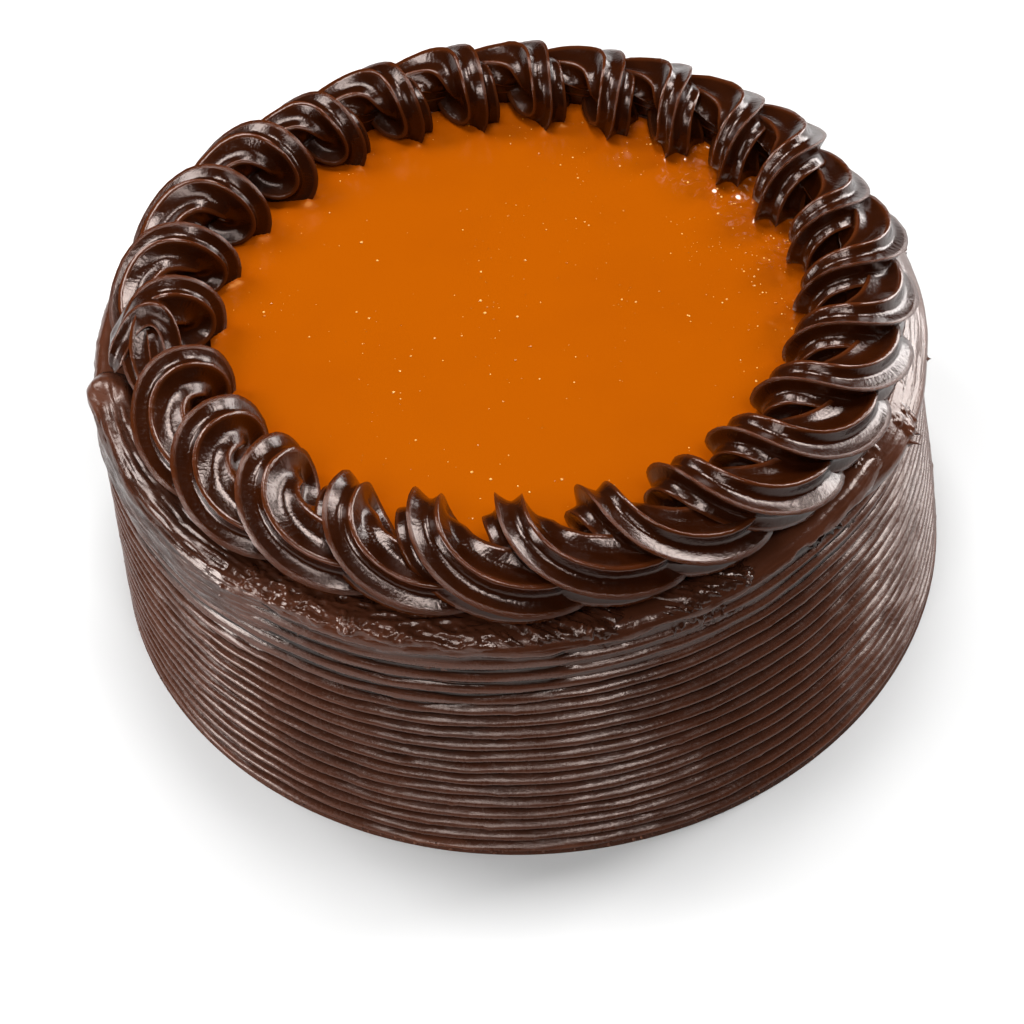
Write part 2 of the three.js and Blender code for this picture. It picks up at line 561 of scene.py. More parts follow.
@dataclass(frozen=True)
class PipingFinish:
    """Glossy piped chocolate: painted shade makes the flutes nearly black-brown and a painted highlight
    makes the thin crests redder, with fine drag marks.
    """

    # The hollow colour is painted shade in the flutes; the crest colour is a painted highlight along the
    # thin crests.
    hollow: Colour = (0.013, 0.0025, 0.0004)
    crest: Colour = (0.062, 0.0138, 0.0030)
    tint: Colour = (1.0, 0.82, 0.75)
    index: float = 1.5
    gloss: float = 0.155
    sheen: float = 0.36
    cloud_scale: float = 0.09
    grain_scale: float = 1.6
    drag_scale: Triple = (3.2, 0.55, 1.0)
    relief: float = 0.12

    def material(self) -> bpy.types.Material:
        """Makes the piping's material.

        Returns:
            The material.
        """
        paint = Paint("piping", IOR=self.index, Specular_IOR_Level=self.sheen, Specular_Tint=self.tint)
        place = paint.place()
        clouds = paint.noise(place, self.cloud_scale)
        drag = paint.noise(paint.mark_vector(Mark.STRAND) * self.drag_scale, 1.0, 3.0)
        grain = paint.noise(place, self.grain_scale, 3.0, 0.6)
        # Painted highlight on the crests and painted shade in the flutes, with random mottling.
        shade_and_mottle = paint.step(paint.mark(Mark.CREST), 0.55, 1.0) * 0.75 + (clouds - 0.4) * 0.35
        return paint.finish(
            Base_Color=paint.mix(shade_and_mottle, self.hollow, self.crest),
            Roughness=self.gloss + (drag - 0.5) * 0.14 + (grain - 0.5) * 0.12,
            Normal=paint.bump(drag * 0.6 + grain * 0.4, self.relief),
        )


@dataclass(frozen=True)
class CaramelFinish:
    """Glossy amber caramel with painted shade against the border, with a wet coat at the right."""

    amber: Colour = (0.250, 0.050, 0.0002)
    # The deep colour is painted shade where the border shadows the caramel.
    deep: Colour = (0.170, 0.027, 0.0001)
    tint: Colour = (1.0, 0.5, 0.1)
    index: float = 1.45
    gloss: float = 0.2
    sheen: float = 0.15
    wet_gloss: float = 0.03
    cloud_scale: float = 0.035
    grain_scale: float = 0.5
    relief: float = 0.05

    def material(self) -> bpy.types.Material:
        """Makes the caramel's material.

        Returns:
            The material.
        """
        paint = Paint(
            "caramel",
            IOR=self.index,
            Specular_IOR_Level=self.sheen,
            Specular_Tint=self.tint,
            Coat_Roughness=self.wet_gloss,
        )
        place = paint.place()
        clouds = paint.noise(place, self.cloud_scale, 3.0)
        # Painted shade near the border, with random mottling.
        shade_and_mottle = paint.mark(Mark.SHORE) * 0.6 + (clouds - 0.45) * 0.5
        return paint.finish(
            Base_Color=paint.mix(shade_and_mottle, self.amber, self.deep),
            Roughness=self.gloss + (clouds - 0.5) * 0.12,
            Coat_Weight=paint.mark(Mark.WET),
            Normal=paint.bump(paint.noise(place, self.grain_scale), self.relief),
        )


@dataclass(frozen=True)
class BubbleFinish:
    """Small air bubbles in the caramel, paler than it is; the pale colour is partly the bubbles' own and
    partly a painted glint.
    """

    # The pale colour is partly the bubbles' own and partly a painted glint.
    pale: Colour = (0.62, 0.31, 0.07)
    amber: Colour = (0.36, 0.09, 0.002)
    index: float = 1.45
    sheen: float = 0.6
    gloss: float = 0.12
    cloud_scale: float = 0.4

    def material(self) -> bpy.types.Material:
        """Makes the bubbles' material.

        Returns:
            The material.
        """
        paint = Paint("bubble", IOR=self.index, Specular_IOR_Level=self.sheen)
        shade = paint.noise(paint.place(), self.cloud_scale, 1.0)
        return paint.finish(
            Base_Color=paint.mix(paint.step(shade, 0.42, 0.6), self.amber, self.pale),
            Roughness=self.gloss + shade * self.gloss,
        )


@dataclass(frozen=True)
class CrumbFinish:
    """Matt red-brown crumbs of cake."""

    dark: Colour = (0.045, 0.013, 0.0055)
    light: Colour = (0.130, 0.048, 0.025)
    matt: float = 0.75
    sheen: float = 0.3
    cloud_scale: float = 0.7

    def material(self) -> bpy.types.Material:
        """Makes the crumbs' material.

        Returns:
            The material.
        """
        paint = Paint("crumb", Roughness=self.matt, Specular_IOR_Level=self.sheen)
        shade = paint.noise(paint.place(), self.cloud_scale)
        return paint.finish(Base_Color=paint.mix(paint.step(shade, 0.3, 0.7), self.dark, self.light))


@dataclass(frozen=True)
class FloorFinish:
    """Matt white studio floor."""

    white: Colour = (0.52, 0.52, 0.52)
    dimmest: float = 0.98
    matt: float = 0.7
    sheen: float = 0.2
    cloud_scale: float = 0.01

    def material(self) -> bpy.types.Material:
        """Makes the floor's material.

        Returns:
            The material.
        """
        paint = Paint("studio_floor", Roughness=self.matt, Specular_IOR_Level=self.sheen)
        shade = paint.noise(paint.place(), self.cloud_scale)
        dim = tuple(self.dimmest * c for c in self.white)
        return paint.finish(Base_Color=paint.mix(shade, self.white, dim))


@dataclass(frozen=True)
class CakeForm:
    """What the pieces share: the cake's plain outline, the border's middle and the lean of the whole."""

    base_radius: float
    height: float
    taper: float = 6.0
    rim_round: float = 4.0
    lump_scale: float = 0.03
    lump_height: float = 1.6
    border_x: float = 2.0
    border_y: float = -1.0
    lean_x: float = -3.0
    lean_y: float = 1.0

    def lay(self, shape: ShapeTree, sheet: Field, place: Field) -> Field:
        """Bends a sheet to its places on the leaning cake, whose underside stays put, and closes it.

        Args:
            shape: The tree under construction.
            sheet: The sheet.
            place: Where its points go on an upright cake, in millimetres.

        Returns:
            The closed shape.
        """
        _, _, height = shape.parts(place)
        share = height / self.height
        leaning = place + shape.vector(share * self.lean_x, share * self.lean_y, 0.0)
        return shape.close(shape.bend(sheet, leaning))

    def lumps(self, shape: ShapeTree, ring: Field) -> Field:
        """How far the icing lies out where it was spread thicker, by places on a plain cylinder."""
        return shape.uneven(ring, self.lump_scale, self.lump_height)


def dress(piece: bpy.types.Object, node: Optional[Node] = None) -> bpy.types.Object:
    """Sets a piece on the cake's body and hides the solid that it stands for, if any.

    Args:
        piece: The piece.
        node: The solid that it replaces, if any.

    Returns:
        The same piece.
    """
    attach(piece, BODY)
    if node is not None:
        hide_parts(node.value)
    return piece


@dataclass
class IcedCake:
    """The iced cake: ridges of a comb round its side, a rounded rim, torn icing on its shoulder."""

    ridges: float = 17.0
    ridge_depth: float = 3.3
    ridge_fullness: float = 0.6
    ridge_droop: float = 0.8
    valley: float = 0.45
    wander: float = 0.55
    jitter: float = 0.2
    line_height: float = 0.3
    bit_height: float = 0.35
    smear_angle: float = -122.0
    smear_low: float = 38.0
    smear_rise: float = 20.0
    smear_flattening: float = 0.75
    smear_lines: float = 0.5
    foot_fade: float = 6.0
    torn_drop: float = 5.5
    torn_swing: float = 7.0
    torn_fade: float = 2.5
    torn_height: float = 1.04
    columns: int = 476
    under_rows: int = 3
    rows_per_ridge: int = 10
    rim_rows: int = 22
    top_rows: int = 10

    def build(self, form: CakeForm, finish: IcingFinish) -> bpy.types.Object:
        """Builds and dresses the icing.

        Args:
            form: Shared form of the cake.
            finish: The icing's finish.

        Returns:
            The finished piece.
        """
        shape = ShapeTree("iced_cake")
        size = shape.sizes(form, self)
        side_rows = round(self.ridges) * self.rows_per_ridge
        stages = (self.under_rows, side_rows, self.rim_rows, self.top_rows)
        sheet, angle, (under, side, rim, top) = shape.lathe(size.columns, *stages)
        rim = rim * (TAU / 4)
        level = side * (size.height - size.rim_round) + shape.sine(rim) * size.rim_round
        ring = shape.polar(angle, size.base_radius, level)
        ridge, relief, shift = self.combing(shape, size, angle, side, ring)
        height = level + shift
        torn, ragged = self.tearing(shape, size, height, ring)
        lumps = form.lumps(shape, ring) * shape.step(height, 0.0, size.foot_fade)
        wall = relief * (1.0 - torn) + ragged + lumps
        radius = under * size.base_radius - side * size.taper - size.rim_round * (1.0 - shape.cosine(rim))
        radius = (radius + wall * shape.step(side, 0.0, 0.01)) * (1.0 - top)
        # The ridge mark lets the finish paint shade into the comb's grooves; the torn mark keeps torn icing
        # glossy and out of that painted shade.
        marked = shape.mark(sheet, {Mark.RIDGE: ridge, Mark.TORN: torn})
        laid = form.lay(shape, marked, shape.polar(angle, radius, height))
        return dress(shape.grow(laid, finish.material()), Node.CAKE)

    def combing(
        self, shape: ShapeTree, size: SimpleNamespace, angle: Field, side: Field, ring: Field
    ) -> tuple[Field, Field, Field]:
        """Works out the comb's ridges, flatter where the spatula smeared them.

        Args:
            shape: The tree under construction.
            size: The tree's named sizes.
            angle: Angle round the cake, in radians.
            side: Place up the side from 0 to 1.
            ring: Place on a plain cylinder, for noise.

        Returns:
            How near a point is to a crest from 0 to 1, how far it lies out, and how far up it moves.
        """
        pitch = (size.height - size.rim_round) / size.ridges
        _, _, level = shape.parts(ring)
        inside = shape.step(side, 0.0, 0.05) * shape.step(side, 1.0, 0.93)
        wander = shape.uneven(ring * (1.0, 1.0, 1.6), 0.022, 2.0)
        jitter = shape.uneven(ring * (1.0, 1.0, 4.0), 0.11, size.jitter)
        shift = (wander * size.wander + jitter) * pitch * inside
        within = shape.math("FRACT", side * size.ridges) ** size.ridge_droop
        ridge = shape.ramp(shape.sine(within * math.pi), size.valley, 1.0) ** size.ridge_fullness
        off = shape.cosine(angle - size.smear_angle * DEGREE)
        patch = shape.step(off, 0.62, 0.93)
        patch = patch * shape.step(level, size.smear_low, size.smear_low + size.smear_rise)
        smear = shape.step(patch * 0.8 + shape.noise(ring, 0.05) * 0.6, 0.55, 0.95)
        depth = size.ridge_depth * (0.8 + 0.4 * shape.noise(ring, 0.06))
        depth = depth * (1.0 - size.smear_flattening * smear)
        coarse = size.line_height + size.smear_lines * smear
        lines = shape.uneven(ring * (0.06, 0.06, 1.5), 1.0, coarse, 3.0)
        specks = shape.step(shape.noise(ring * (0.7, 0.7, 1.0), 0.9), 0.6, 0.78)
        bits = specks * ridge ** 3.0 * size.bit_height
        return ridge, (ridge - 1.0) * depth + lines + bits, shift

    def tearing(
        self, shape: ShapeTree, size: SimpleNamespace, height: Field, ring: Field
    ) -> tuple[Field, Field]:
        """Works out the torn icing on the shoulder.

        Args:
            shape: The tree under construction.
            size: The tree's named sizes.
            height: Height above the underside.
            ring: Place on a plain cylinder, for noise.

        Returns:
            How torn a point is from 0 to 1, and how far it lies out for that.
        """
        edge = size.height - size.torn_drop + shape.uneven(ring, 0.07, size.torn_swing)
        torn = shape.step(height, edge, edge + size.torn_fade)
        ragged = shape.uneven(ring * (1.0, 1.0, 1.4), 0.42, size.torn_height, 4.0, 0.6)
        return torn, ragged * torn


@dataclass(frozen=True)
class Patch:
    """A stretch of the rim that was worked in one way, from a low to a high line up over the rim."""

    bearing: float
    half_width: float
    low: float
    high: float
    height: float


@dataclass
class TornRim:
    """Icing that the spatula tore, smeared or cut round the rim, laid over the combed icing."""

    ledge: float = 9.0
    drop: float = 10.0
    sunk: float = 1.0
    core: float = 3.0
    slash: Patch = Patch(bearing=-82.0, half_width=30.0, low=0.5, high=13.0, height=1.7)
    wet: Patch = Patch(bearing=-112.0, half_width=23.0, low=-0.5, high=14.0, height=1.8)
    smear: Patch = Patch(bearing=-150.0, half_width=27.0, low=-11.0, high=14.0, height=1.5)
    bevel: Patch = Patch(bearing=-6.0, half_width=34.0, low=-5.0, high=14.0, height=1.1)
    flakes: Patch = Patch(bearing=-6.0, half_width=40.0, low=-12.0, high=2.0, height=2.6)
    stray: Patch = Patch(bearing=-82.0, half_width=70.0, low=-6.0, high=9.0, height=1.4)
    patch_fade: float = 4.0
    slash_lean: float = 1.5
    slash_gloss: float = 0.6
    slash_gloss_half: float = 34.0
    wet_gloss_half: float = 26.0
    knob_bearing: float = -172.0
    knob_run: float = 5.0
    knob_reach: float = 5.0
    knob_height: float = 3.2
    columns: int = 1400
    face_rows: int = 62
    back_rows: int = 3

    def build(self, form: CakeForm, finish: IcingFinish) -> bpy.types.Object:
        """Builds and dresses the torn icing.

        Args:
            form: Shared form of the cake.
            finish: The icing's finish.

        Returns:
            The finished piece.
        """
        shape = ShapeTree("torn_rim")
        size = shape.sizes(form, self)
        sheet, angle, (face, back) = shape.lathe(size.columns, self.face_rows, self.back_rows)
        arc = size.rim_round * (TAU / 4)
        run = (face - back) * (size.drop + arc + size.ledge) - size.drop
        bend = shape.ramp(run / size.rim_round, 0.0, TAU / 4, 0.0, TAU / 4)
        below = shape.least(run, 0.0)
        level = size.height - size.rim_round * (1.0 - shape.sine(bend)) + below
        raised, shiny = self.tears(shape, size, angle, run)
        raised = raised * shape.step(face, 0.0, 0.12) * shape.step(face, 1.0, 0.88)
        lumps = form.lumps(shape, shape.polar(angle, size.base_radius, level))
        lift = raised - size.sunk - size.core * shape.step(back, 0.0, 0.3)
        radius = size.base_radius - size.taper * (1.0 + below / (size.height - size.rim_round)) + lumps
        radius = radius - size.rim_round * (1.0 - shape.cosine(bend)) - shape.most(run - arc, 0.0)
        radius = radius + shape.cosine(bend) * lift
        place = shape.polar(angle, radius, level + shape.sine(bend) * lift)
        # The ridge mark lets the finish paint shade onto the sunken bed between raised bits; the torn mark
        # makes the shiny patches glossy and keeps them out of that painted shade.
        marked = shape.mark(sheet, {Mark.RIDGE: shape.step(raised, 0.6, 2.4), Mark.TORN: shiny})
        laid = form.lay(shape, marked, place)
        return dress(shape.grow(laid, finish.material()), Node.CAKE)

    def tears(
        self, shape: ShapeTree, size: SimpleNamespace, angle: Field, run: Field
    ) -> tuple[Field, Field]:
        """Works out how far the torn icing stands above its sunken bed.

        Args:
            shape: The tree under construction.
            size: The tree's named sizes.
            angle: Angle round the cake, in radians.
            run: Way up over the rim from the top of the side, in millimetres.

        Returns:
            Heights in millimetres, of which the icing hides what stands less than the bed's depth, and how
            shiny a point looks from 0 to 1.
        """

        def zone(bearing: Field, half: Field) -> Field:
            """A stretch of the rim from 0 to 1, fading out at half its width."""
            off = shape.cosine(angle - bearing * DEGREE)
            return shape.step(off, shape.cosine(half * DEGREE), shape.cosine(half * (0.6 * DEGREE)))

        def worked(patch: SimpleNamespace) -> Field:
            """Finds where a patch lies.

            Args:
                patch: The patch's named sizes.

            Returns:
                1 on the patch, fading out to 0 at its edges.
            """
            band = shape.step(run, patch.low, patch.low + size.patch_fade)
            band = band * shape.step(run, patch.high, patch.high - size.patch_fade)
            return zone(patch.bearing, patch.half_width) * band

        spread = shape.polar(angle, size.base_radius, run)
        cloud = shape.noise(spread, 0.09)
        grit = shape.noise(spread, 0.7, 3.0, 0.6)
        leaning = angle + run * size.slash_lean / size.base_radius
        fibres = shape.creases(shape.polar(leaning, size.base_radius, run * 0.22), 0.42, 2.0) ** 3.0
        streaks = shape.noise(spread * (0.07, 0.07, 1.3), 1.0, 3.0)
        folds = shape.creases(spread * (0.35, 0.35, 1.0), 0.36, 3.0) ** 2.0
        slashes = worked(size.slash) * (fibres + grit * 0.35) * size.slash.height
        slashes = slashes * shape.step(cloud, 0.3, 0.5)
        wet = worked(size.wet) * (folds + grit * 0.25) * size.wet.height
        smear = worked(size.smear) * (0.45 + streaks * 1.1) * size.smear.height
        corner = shape.ramp(run, 0.0, size.rim_round * (TAU / 4), -TAU / 8, TAU / 8)
        facet = size.rim_round / shape.cosine(corner) - size.rim_round
        bevel = worked(size.bevel) * (facet + streaks * 0.4 + size.bevel.height)
        flaking = shape.step(grit, 0.56, 0.7) * shape.step(cloud, 0.54, 0.64)
        flakes = worked(size.flakes) * flaking * size.flakes.height
        stray = worked(size.stray) * shape.step(cloud + grit * 0.5, 0.86, 1.02) * size.stray.height
        off = shape.cosine(angle - size.knob_bearing * DEGREE) - 1.0
        round_off = off * 2.0 * (size.base_radius / size.knob_reach) ** 2.0
        rise_off = ((run - size.knob_run) / size.knob_reach) ** 2.0
        knob = shape.math("POWER", math.e, round_off - rise_off) * size.knob_height
        raised = shape.most(shape.most(slashes, wet), shape.most(smear, bevel))
        raised = raised + shape.most(knob, flakes) + stray
        shiny = zone(size.slash.bearing, size.slash_gloss_half) * size.slash_gloss
        shiny = shape.most(shiny, zone(size.wet.bearing, size.wet_gloss_half))
        return raised, shape.most(shiny, zone(size.flakes.bearing, size.flakes.half_width))


@dataclass
class RopeBorder:
    """The rope piped round the rim with a star nozzle, in loops that each lie over the one before."""

    turns: float = 24.4
    start: float = -162.0
    spacing: float = 14.25
    mid_radius: float = 79.0
    back_draw: float = 3.5
    axis_height: float = 8.2
    end_height: float = 0.4
    loop_radius: float = 4.0
    loop_tilt: float = 46.0
    tilt_swing: float = 26.0
    tilt_phase: float = 30.0
    loop_yaw: float = 14.0
    crest_radius: float = 10.2
    flutes: float = 8.0
    flute_depth: float = 2.6
    crest_sharpness: float = 0.85
    inner_limit: float = 5.0
    inner_rounding: float = 0.8
    fan: float = 0.05
    axial_stretch: float = 0.67
    front_growth: float = 0.08
    tilt_wobble: float = 16.0
    growth_wobble: float = 0.22
    reach_wobble: float = 2.4
    height_wobble: float = 1.5
    skin_wobble: float = 0.7
    foot_height: float = 0.3
    foot_rounding: float = 4.0
    foot_slide: float = 0.6
    foot_spread: float = 0.6
    sweep: float = 10.0
    sweep_phase: float = 206.0
    sweep_share: float = 0.3
    sweep_bearing: float = -45.0
    lead_in: float = 0.9
    tail: float = 0.5
    seed: float = 3.0
    strand_length: float = 30.0
    steps_per_turn: int = 39
    points_per_flute: int = 11

    def build(self, form: CakeForm, finish: PipingFinish) -> bpy.types.Object:
        """Builds and dresses the rope.

        Args:
            form: Shared form of the cake.
            finish: The piping's finish.

        Returns:
            The finished piece.
        """
        shape = ShapeTree("piped_rope")
        size = shape.sizes(self)
        length = self.turns + self.lead_in + self.tail
        steps = round(length * self.steps_per_turn)
        sheet, first, second = shape.sheet(steps, int(self.flutes) * self.points_per_flute + 1)
        turns = first * length - size.lead_in
        around = second * TAU
        star = abs(shape.sine(around * (size.flutes / 2.0)))
        place = self.strand(shape, size, turns, around, star, form)
        strand = shape.vector(turns * size.strand_length, around * size.crest_radius, 0.0)
        marked = shape.mark(sheet, {Mark.CREST: 1.0 - star, Mark.STRAND: strand})
        skin = shape.uneven(shape.place(), 0.22, size.skin_wobble)
        laid = shape.swell(form.lay(shape, marked, place), skin)
        return dress(shape.grow(laid, finish.material()), Node.BORDER)

    def strand(
        self,
        shape: ShapeTree,
        size: SimpleNamespace,
        turns: Field,
        around: Field,
        star: Field,
        form: CakeForm,
    ) -> Field:
        """Works out where the rope's surface lies.

        Args:
            shape: The tree under construction.
            size: The tree's named sizes.
            turns: Turns of the rope so far.
            around: Angle round the strand, in radians.
            star: Depth of the nozzle's star from 0 at a crest to 1 in a flute.
            form: Shared form of the cake.

        Returns:
            Places on an upright cake, in millimetres.
        """
        wind = turns * TAU
        angle = (size.start + size.spacing * turns) * DEGREE
        wobble = [shape.noise_along(turns + size.seed * (7.3 + 11.0 * k), 0.9) - 0.5 for k in range(4)]
        swing = size.tilt_swing * shape.cosine(wind - size.tilt_phase * DEGREE)
        tilt = (size.loop_tilt - swing + wobble[0] * size.tilt_wobble) * DEGREE
        growth = 1.0 + size.front_growth * shape.sine(-angle) + wobble[1] * size.growth_wobble
        turned = angle + size.loop_yaw * DEGREE
        out = shape.polar(angle, 1.0, 0.0)
        along = shape.vector(-shape.sine(angle), shape.cosine(angle), 0.0)
        across = shape.polar(turned, 1.0, 0.0)
        forward = shape.vector(-shape.sine(turned), shape.cosine(turned), 0.0)
        rise = shape.vector(0.0, 0.0, shape.cosine(tilt)) - forward * shape.sine(tilt)
        axis = forward * shape.cosine(tilt) + shape.vector(0.0, 0.0, shape.sine(tilt))
        away = rise * shape.sine(wind) - across * shape.cosine(wind)
        begun = shape.step(turns, -size.lead_in, 0.1)
        ended = shape.step(turns, size.turns - 0.2, size.turns + size.tail)
        ends = begun * (1.0 - ended)
        fan = 1.0 - size.fan * shape.cosine(wind)
        radius = (size.crest_radius - size.flute_depth * star ** size.crest_sharpness) * fan * growth * ends
        outward = shape.soft_most(radius * shape.cosine(around), -size.inner_limit, size.inner_rounding)
        sideways = radius * size.axial_stretch * shape.sine(around)
        drawn = size.back_draw * shape.step(shape.sine(angle), 0.0, 1.0)
        carried = size.axis_height * growth * (size.end_height + (1.0 - size.end_height) * ends)
        middle = out * (size.mid_radius - drawn + wobble[2] * size.reach_wobble)
        middle = middle + shape.vector(0.0, 0.0, form.height + (carried + wobble[3] * size.height_wobble))
        ahead = (0.5 + 0.5 * shape.cosine(wind - size.sweep_phase * DEGREE)) ** 2.0
        facing = shape.cosine(angle - size.sweep_bearing * DEGREE)
        swept = size.sweep * ahead * (1.0 - size.sweep_share + size.sweep_share * facing)
        middle = middle + along * swept
        place = middle + away * (size.loop_radius * growth + outward) + axis * sideways
        x, y, z = shape.parts(place)
        rest = shape.soft_most(z, form.height + size.foot_height, size.foot_rounding)
        reach = (x * x + y * y) ** 0.5 - size.mid_radius + drawn
        lost = (rest - z) * shape.step(reach, -4.0, 6.0)
        slid = along * (lost * size.foot_slide) + out * (lost * size.foot_spread)
        return shape.vector(x + form.border_x, y + form.border_y, rest) + slid


@dataclass
class PullOff:
    """The rope's end, pulled up to a peak and folded down over the rim as a ribbon."""

    bearings: Knots = (193.0, 180.0, 182.0, 187.0)
    reaches: Knots = (79.0, 74.0, 82.0, 91.0)
    heights: Knots = (6.0, 22.0, 18.0, 3.5)
    half_width: float = 7.4
    half_depth: float = 4.2
    ribs: float = 5.0
    rib_depth: float = 0.26
    narrowing: float = 0.3
    skin_wobble: float = 1.4
    strand_length: float = 40.0
    steps: int = 120
    points: int = 98

    def build(self, form: CakeForm, finish: PipingFinish) -> bpy.types.Object:
        """Builds and dresses the ribbon.

        Args:
            form: Shared form of the cake.
            finish: The piping's finish.

        Returns:
            The finished piece.
        """
        shape = ShapeTree("rope_end")
        size = shape.sizes(self)
        sheet, way, second = shape.sheet(size.steps, size.points + 1)
        around = second * TAU
        angle = self.curve(way, self.bearings) * DEGREE
        outward, upward = self.slope(way, self.reaches), self.slope(way, self.heights)
        length = (outward * outward + upward * upward) ** 0.5
        star = abs(shape.sine(around * (size.ribs / 2.0)))
        ends = (shape.ramp(way, 0.0, 0.08) * shape.ramp(way, 1.0, 0.9)) ** 0.5
        swell = (1.0 - size.rib_depth * star) * ends * (1.0 - size.narrowing * way)
        thick = shape.sine(around) * size.half_depth * swell
        wide = shape.cosine(around) * size.half_width * swell
        radius = self.curve(way, self.reaches) - thick * upward / length
        height = self.curve(way, self.heights) + form.height + thick * outward / length
        sideways = shape.vector(-shape.sine(angle) * wide, shape.cosine(angle) * wide, 0.0)
        place = shape.polar(angle, radius, height) + sideways
        strand = shape.vector(way * size.strand_length, around * size.half_width, 0.0)
        marked = shape.mark(sheet, {Mark.CREST: 1.0 - star, Mark.STRAND: strand})
        skin = shape.uneven(shape.place(), 0.15, size.skin_wobble, 1.0)
        laid = shape.swell(form.lay(shape, marked, place), skin)
        return dress(shape.grow(laid, finish.material()), Node.BORDER)

    @staticmethod
    def curve(way: Field, knots: Knots) -> Field:
        """Follows a smooth curve.

        Args:
            way: Place along the curve from 0 to 1.
            knots: Four values that draw the curve, the first and last at its ends.

        Returns:
            The value there.
        """
        rest = 1.0 - way
        first, second, third, fourth = knots
        inner = rest * rest * way * (3 * second) + rest * way * way * (3 * third)
        return rest ** 3.0 * first + inner + way ** 3.0 * fourth

    @staticmethod
    def slope(way: Field, knots: Knots) -> Field:
        """Tells how fast a value grows along its curve.

        Args:
            way: Place along the curve from 0 to 1.
            knots: The curve's four values.

        Returns:
            The growth there.
        """
        rest = 1.0 - way
        first, second, third, fourth = knots
        inner = rest * way * (6 * (third - second))
        return rest * rest * (3 * (second - first)) + inner + way * way * (3 * (fourth - third))


@dataclass
class CaramelPool:
    """The pool of caramel inside the border, drawn up a little where it wets the chocolate."""

    edge_radius: float = 74.5
    floor: float = 69.3
    level: float = 71.9
    wetting: float = 0.8
    wetting_reach: float = 1.3
    shore_reach: float = 4.0
    right_from: float = 40.0
    right_to: float = 62.0
    right_ripple: float = 1.3
    right_coat: float = 0.8
    edge_ripple: float = 0.5
    swirl: float = 0.35
    thin_bearing: float = 197.0
    thin_dip: float = 4.5
    crowding: float = 1.7
    columns: int = 540
    bottom_rows: int = 2
    edge_rows: int = 2
    top_rows: int = 84
    bubbles: float = 110000.0
    bubble_size: float = 0.44
    bubble_flatness: float = 0.6
    bubble_seed: int = 5

    def build(self, form: CakeForm, finish: CaramelFinish, rope: bpy.types.Object) -> bpy.types.Object:
        """Builds and dresses the pool.

        Args:
            form: Shared form of the cake.
            finish: The caramel's finish.
            rope: The piped rope that the caramel wets.

        Returns:
            The finished piece.
        """
        shape = ShapeTree("caramel_pool")
        size = shape.sizes(self)
        stages = (self.bottom_rows, self.edge_rows, self.top_rows)
        sheet, angle, (bottom, edge, top) = shape.lathe(size.columns, *stages)
        thin = shape.step(shape.cosine(angle - size.thin_bearing * DEGREE), 0.9, 0.97)
        radius = (size.edge_radius - size.thin_dip * thin) * bottom * (1.0 - top ** size.crowding)
        height = size.floor + (size.level - size.floor) * edge
        place = shape.polar(angle, radius, height) + (form.border_x, form.border_y, 0.0)
        flat = form.lay(shape, sheet, place)
        nearest = {"Geometry": shape.mesh_of(rope)}
        near = shape.node("GeometryNodeProximity", {"target_element": "FACES"}, nearest, "Distance")
        near = near * (1 / MM)
        now = shape.place()
        x, y, tall = shape.parts(now)
        surface = shape.step(tall, size.level - 0.2, size.level - 0.1)
        right = shape.step(x + y * 0.3, size.right_from, size.right_to) * shape.step(near, 12.0, 4.0)
        ripples = shape.uneven(now, 0.3, size.edge_ripple) * shape.step(near, 9.0, 1.0)
        ripples = ripples + shape.uneven(now, 0.42, size.right_ripple, 3.0) * right
        shore = shape.math("POWER", math.e, -near / size.wetting_reach)
        lift = (size.wetting * shore + ripples + shape.uneven(now, 0.03, size.swirl, 1.0)) * surface
        offset = shape.vector(0.0, 0.0, lift * MM)
        lifted = shape.node("GeometryNodeSetPosition", inputs={"Geometry": flat, "Offset": offset})
        # Painted shade near the border: 1 at the rope, falling off away from it.
        shade_by_border = shape.math("POWER", math.e, -near / size.shore_reach)
        marked = shape.mark(lifted, {Mark.SHORE: shade_by_border, Mark.WET: right * size.right_coat})
        return dress(shape.grow(marked, finish.material()), Node.CARAMEL)

    def froth(self, pool: bpy.types.Object, finish: BubbleFinish) -> bpy.types.Object:
        """Scatters bubbles over the pool, more of them towards the right.

        Args:
            pool: The finished pool.
            finish: The bubbles' finish.

        Returns:
            The finished bubbles.
        """
        shape = ShapeTree("caramel_bubbles")
        size = shape.sizes(self)
        now = shape.place()
        x, y, z = shape.parts(now)
        upper = shape.step(z, size.level - 0.9, size.level - 0.8)
        crowd = shape.step(shape.noise(now, 0.05), 0.35, 0.7)
        crowd = crowd * shape.ramp(x + y * 0.6, -60.0, 70.0, 0.35, 1.0)
        shoal = shape.step(x + y * 0.2, 52.0, 64.0) * shape.step(shape.noise(now, 0.12), 0.4, 0.6)
        density = size.bubbles * upper * (crowd + shoal * 3.0)
        scatter = {"Mesh": shape.mesh_of(pool), "Density": density, "Seed": size.bubble_seed}
        points = shape.node("GeometryNodeDistributePointsOnFaces", {"distribute_method": "RANDOM"}, scatter)
        across = size.bubble_size * (0.2 + 0.8 * shape.chance(size.bubble_seed) ** 4.0)
        scale = shape.vector(across, across, across * size.bubble_flatness)
        laid = {"Points": points, "Instance": shape.ball(), "Scale": scale}
        balls = shape.node("GeometryNodeInstanceOnPoints", inputs=laid)
        whole = shape.node("GeometryNodeRealizeInstances", inputs={"Geometry": balls})
        smooth = shape.node("GeometryNodeSetShadeSmooth", inputs={"Geometry": whole})
        return dress(shape.grow(smooth, finish.material()))


